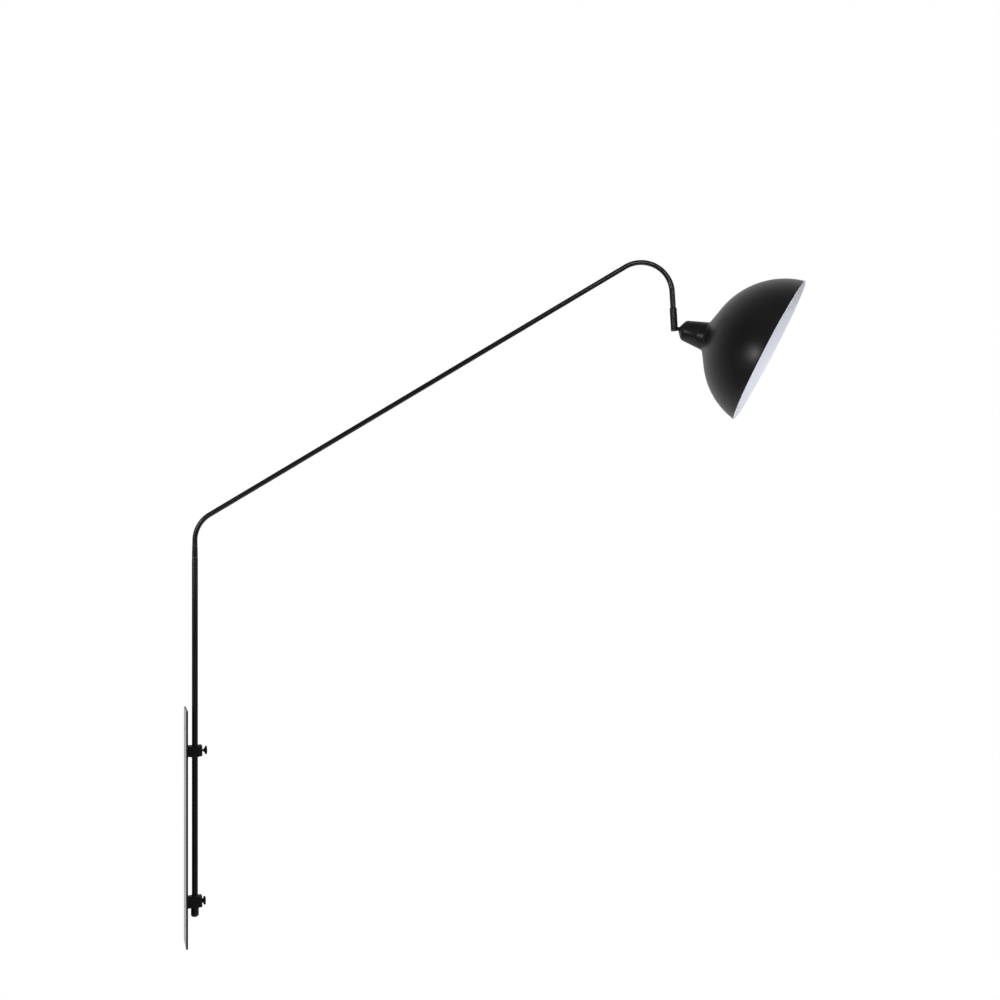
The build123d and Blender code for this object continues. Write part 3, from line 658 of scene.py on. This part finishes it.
def makeLamps():
    aim = Vector(tubeAxis + armWay * lampAim["along"] + np.array([0, 0, lampAim["up"]]))
    for name, lamp in lamps.items():
        data = bpy.data.lights.new(name, "AREA")
        data.shape, data.size, data.energy = "DISK", lamp["size"], lamp["power"]
        out, near, up = lamp["way"]
        light = bpy.data.objects.new(name, data)
        bpy.context.scene.collection.objects.link(light)
        light.visible_glossy = lamp["mirrored"]
        place = aim + Vector(armWay * out - sideWay * near) + Vector((0, 0, up))
        turn = (place - aim).to_track_quat("Z", "Y").to_matrix().to_4x4()
        light.matrix_world = Matrix.Translation(place) @ turn


makeLamps()

backdrop = {"fill": 0.55, "dimSide": 0.08, "dimUntil": -0.1, "whiteFrom": 0.9, "mirrorWhite": 0.6,
            "floorLevel": -1.0, "floorRadius": 1.5, "floorMiddle": (0.45, -0.15), "floorSides": 96,
            "floorColour": "#d8d8d8", "seenGlow": 0.55}


def makeWorld():
    # White where camera and glass rays see it. Mirror rays see the white backdrop behind the
    # object and a dim studio on the camera's side. Other rays get an even soft fill.
    world = bpy.data.worlds.new("studio")
    bpy.context.scene.world = world
    tree = emptyTree(world)
    rays = addNode(tree, "ShaderNodeLightPath").outputs
    way = addNode(tree, "ShaderNodeTexCoord").outputs["Generated"]
    ahead = addNode(tree, "ShaderNodeVectorMath", operation="DOT_PRODUCT", values={1: tuple(sideWay)},
                    links={0: way})
    mirrored = addNode(tree, "ShaderNodeMapRange", interpolation_type="SMOOTHSTEP",
                       values={"From Min": backdrop["dimUntil"], "From Max": backdrop["whiteFrom"],
                               "To Min": backdrop["dimSide"], "To Max": backdrop["mirrorWhite"]},
                       links={"Value": ahead.outputs["Value"]})
    even = addNode(tree, "ShaderNodeMix", values={2: backdrop["fill"]},
                   links={0: rays["Is Glossy Ray"], 3: mirrored.outputs["Result"]})
    seen = addNode(tree, "ShaderNodeMath", operation="MAXIMUM",
                   links={0: rays["Is Camera Ray"], 1: rays["Is Transmission Ray"]})
    strength = addNode(tree, "ShaderNodeMix", values={3: 1.0}, links={0: seen.outputs[0], 2: even.outputs[0]})
    glow = addNode(tree, "ShaderNodeBackground", values={"Color": linear("#ffffff")},
                   links={"Strength": strength.outputs[0]})
    addNode(tree, "ShaderNodeOutputWorld", links={"Surface": glow.outputs["Background"]})


def makeFloor():
    # a pale disc that keeps the object's shadow and is lifted to white where the camera sees it
    material = bpy.data.materials.new("paleFloor")
    tree = emptyTree(material)
    rays = addNode(tree, "ShaderNodeLightPath")
    paint = addNode(tree, "ShaderNodeBsdfDiffuse", values={"Color": linear(backdrop["floorColour"])})
    lift = addNode(tree, "ShaderNodeMath", operation="MULTIPLY", values={1: backdrop["seenGlow"]},
                   links={0: rays.outputs["Is Camera Ray"]})
    glow = addNode(tree, "ShaderNodeEmission", values={"Color": linear("#ffffff")},
                   links={"Strength": lift.outputs[0]})
    both = addNode(tree, "ShaderNodeAddShader", links={0: paint.outputs["BSDF"], 1: glow.outputs["Emission"]})
    addNode(tree, "ShaderNodeOutputMaterial", links={"Surface": both.outputs["Shader"]})
    mesh = bpy.data.meshes.new("floor")
    angle = np.arange(backdrop["floorSides"]) / backdrop["floorSides"] * 2 * pi
    ring = np.stack([np.cos(angle), np.sin(angle), 0 * angle], 1) * backdrop["floorRadius"]
    ring += [*backdrop["floorMiddle"], backdrop["floorLevel"]]
    mesh.from_pydata(ring.tolist(), [], [list(range(len(ring)))])
    mesh.materials.append(material)
    floor = bpy.data.objects.new("floor", mesh)
    bpy.context.scene.collection.objects.link(floor)


makeWorld()
makeFloor()
bpy.context.scene.view_settings.view_transform = "Standard"
print("camera, lamps and floor ready")
